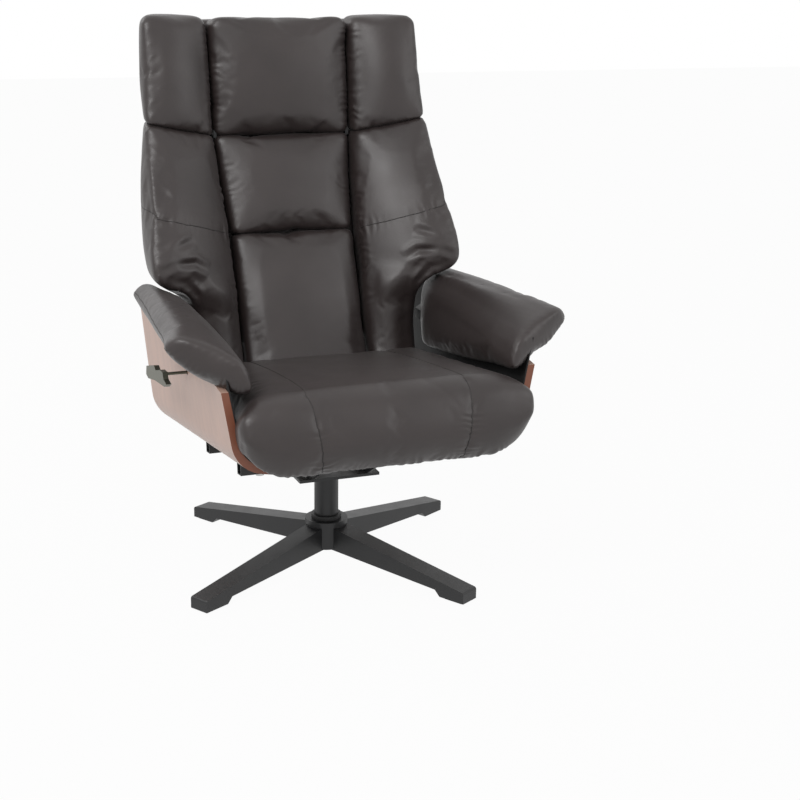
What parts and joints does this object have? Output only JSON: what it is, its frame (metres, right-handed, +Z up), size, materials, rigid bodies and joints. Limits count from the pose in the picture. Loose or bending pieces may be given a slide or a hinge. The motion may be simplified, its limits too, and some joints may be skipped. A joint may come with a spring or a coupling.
{
  "type": "recliner armchair",
  "caption": "High-backed leather recliner armchair with curved wood side shells, angled arm pads, a release lever and a swivelling star base.",
  "frame": {"origin": "on the floor under the swivel column's axis, the centre of the bottom of the whole chair", "axes": "+Z up, the chair faces -Y, +X is the sitter's left"},
  "size_m": [0.772, 0.7837, 1.092],
  "materials": {
    "leather": "smooth grained",
    "veneer": "satin",
    "liner": "matt",
    "black_steel": "powder coated",
    "black_plastic": "matt",
    "lever_metal": "satin",
    "plywood": "raw",
    "steel": "zinc plated"
  },
  "bodies": {
    "base": {"base_star": "black_steel", "floor_glides": "black_plastic", "column_tube": "black_steel", "column_bush": "black_plastic", "column_collar": "black_plastic", "thrust_washer": "black_plastic", "hub_bolt": "steel"},
    "carrier": {"swivel_spindle": "steel", "swivel_plate": "black_steel", "front_cross_tube": "black_steel", "rear_cross_tube": "black_steel", "seat_rail_left": "steel", "seat_rail_right": "steel", "side_shell_left": "veneer", "side_shell_right": "veneer", "shell_liner_left": "liner", "shell_liner_right": "liner", "arm_brackets_left": "black_steel", "arm_brackets_right": "black_steel", "arm_pad_left": "leather", "arm_pad_right": "leather", "shell_bolts": "steel", "shell_wedges": "veneer", "lock_cylinder": "steel", "lever_bracket": "black_steel"},
    "seat": {"seat_board": "plywood", "seat_runner_left": "black_steel", "seat_runner_right": "black_steel", "slide_blocks": "black_plastic", "pivot_bracket_left": "black_steel", "pivot_bracket_right": "black_steel", "seat_cushion": "leather", "lock_rod": "steel"},
    "backrest": {"lumbar_cushion": "leather", "upper_back_cushion": "leather", "back_side_left": "leather", "back_side_right": "leather", "back_wing_left": "leather", "back_wing_right": "leather", "back_frame": "black_steel", "back_cover": "leather"},
    "headrest": {"head_cushion": "leather", "head_frame": "black_steel", "head_cover": "leather", "head_wing_left": "leather", "head_wing_right": "leather"},
    "lever": {"lever_arm": "lever_metal", "lever_handle": "lever_metal"}
  },
  "joints": [
    {"name": "swivel", "type": "hinge", "parent": "base", "child": "carrier", "pos_m": [0, 0, 0.2], "axis": [0, 0, 1], "continuous": true},
    {"name": "seat_glide", "type": "slide", "parent": "carrier", "child": "seat", "axis": [0, -0.9925, 0.1219], "range_m": [0, 0.084]},
    {"name": "back_recline", "type": "hinge", "parent": "seat", "child": "backrest", "pos_m": [0, 0.14, 0.335], "axis": [-1, 0, 0], "range_deg": [0, 30]},
    {"name": "headrest_tilt", "type": "hinge", "parent": "backrest", "child": "headrest", "pos_m": [0, 0.3, 0.85], "axis": [1, 0, 0], "range_deg": [0, 20]},
    {"name": "lever_pull", "type": "hinge", "parent": "carrier", "child": "lever", "pos_m": [-0.278, -0.15, 0.447], "axis": [1, 0, 0], "range_deg": [0, 9], "stiffness_Nm_per_rad": 0.6, "springref_deg": -20.05}
  ],
  "couplings": [
    {"joint": "seat_glide", "follows": "back_recline", "m_per_rad": 0.16}
  ]
}
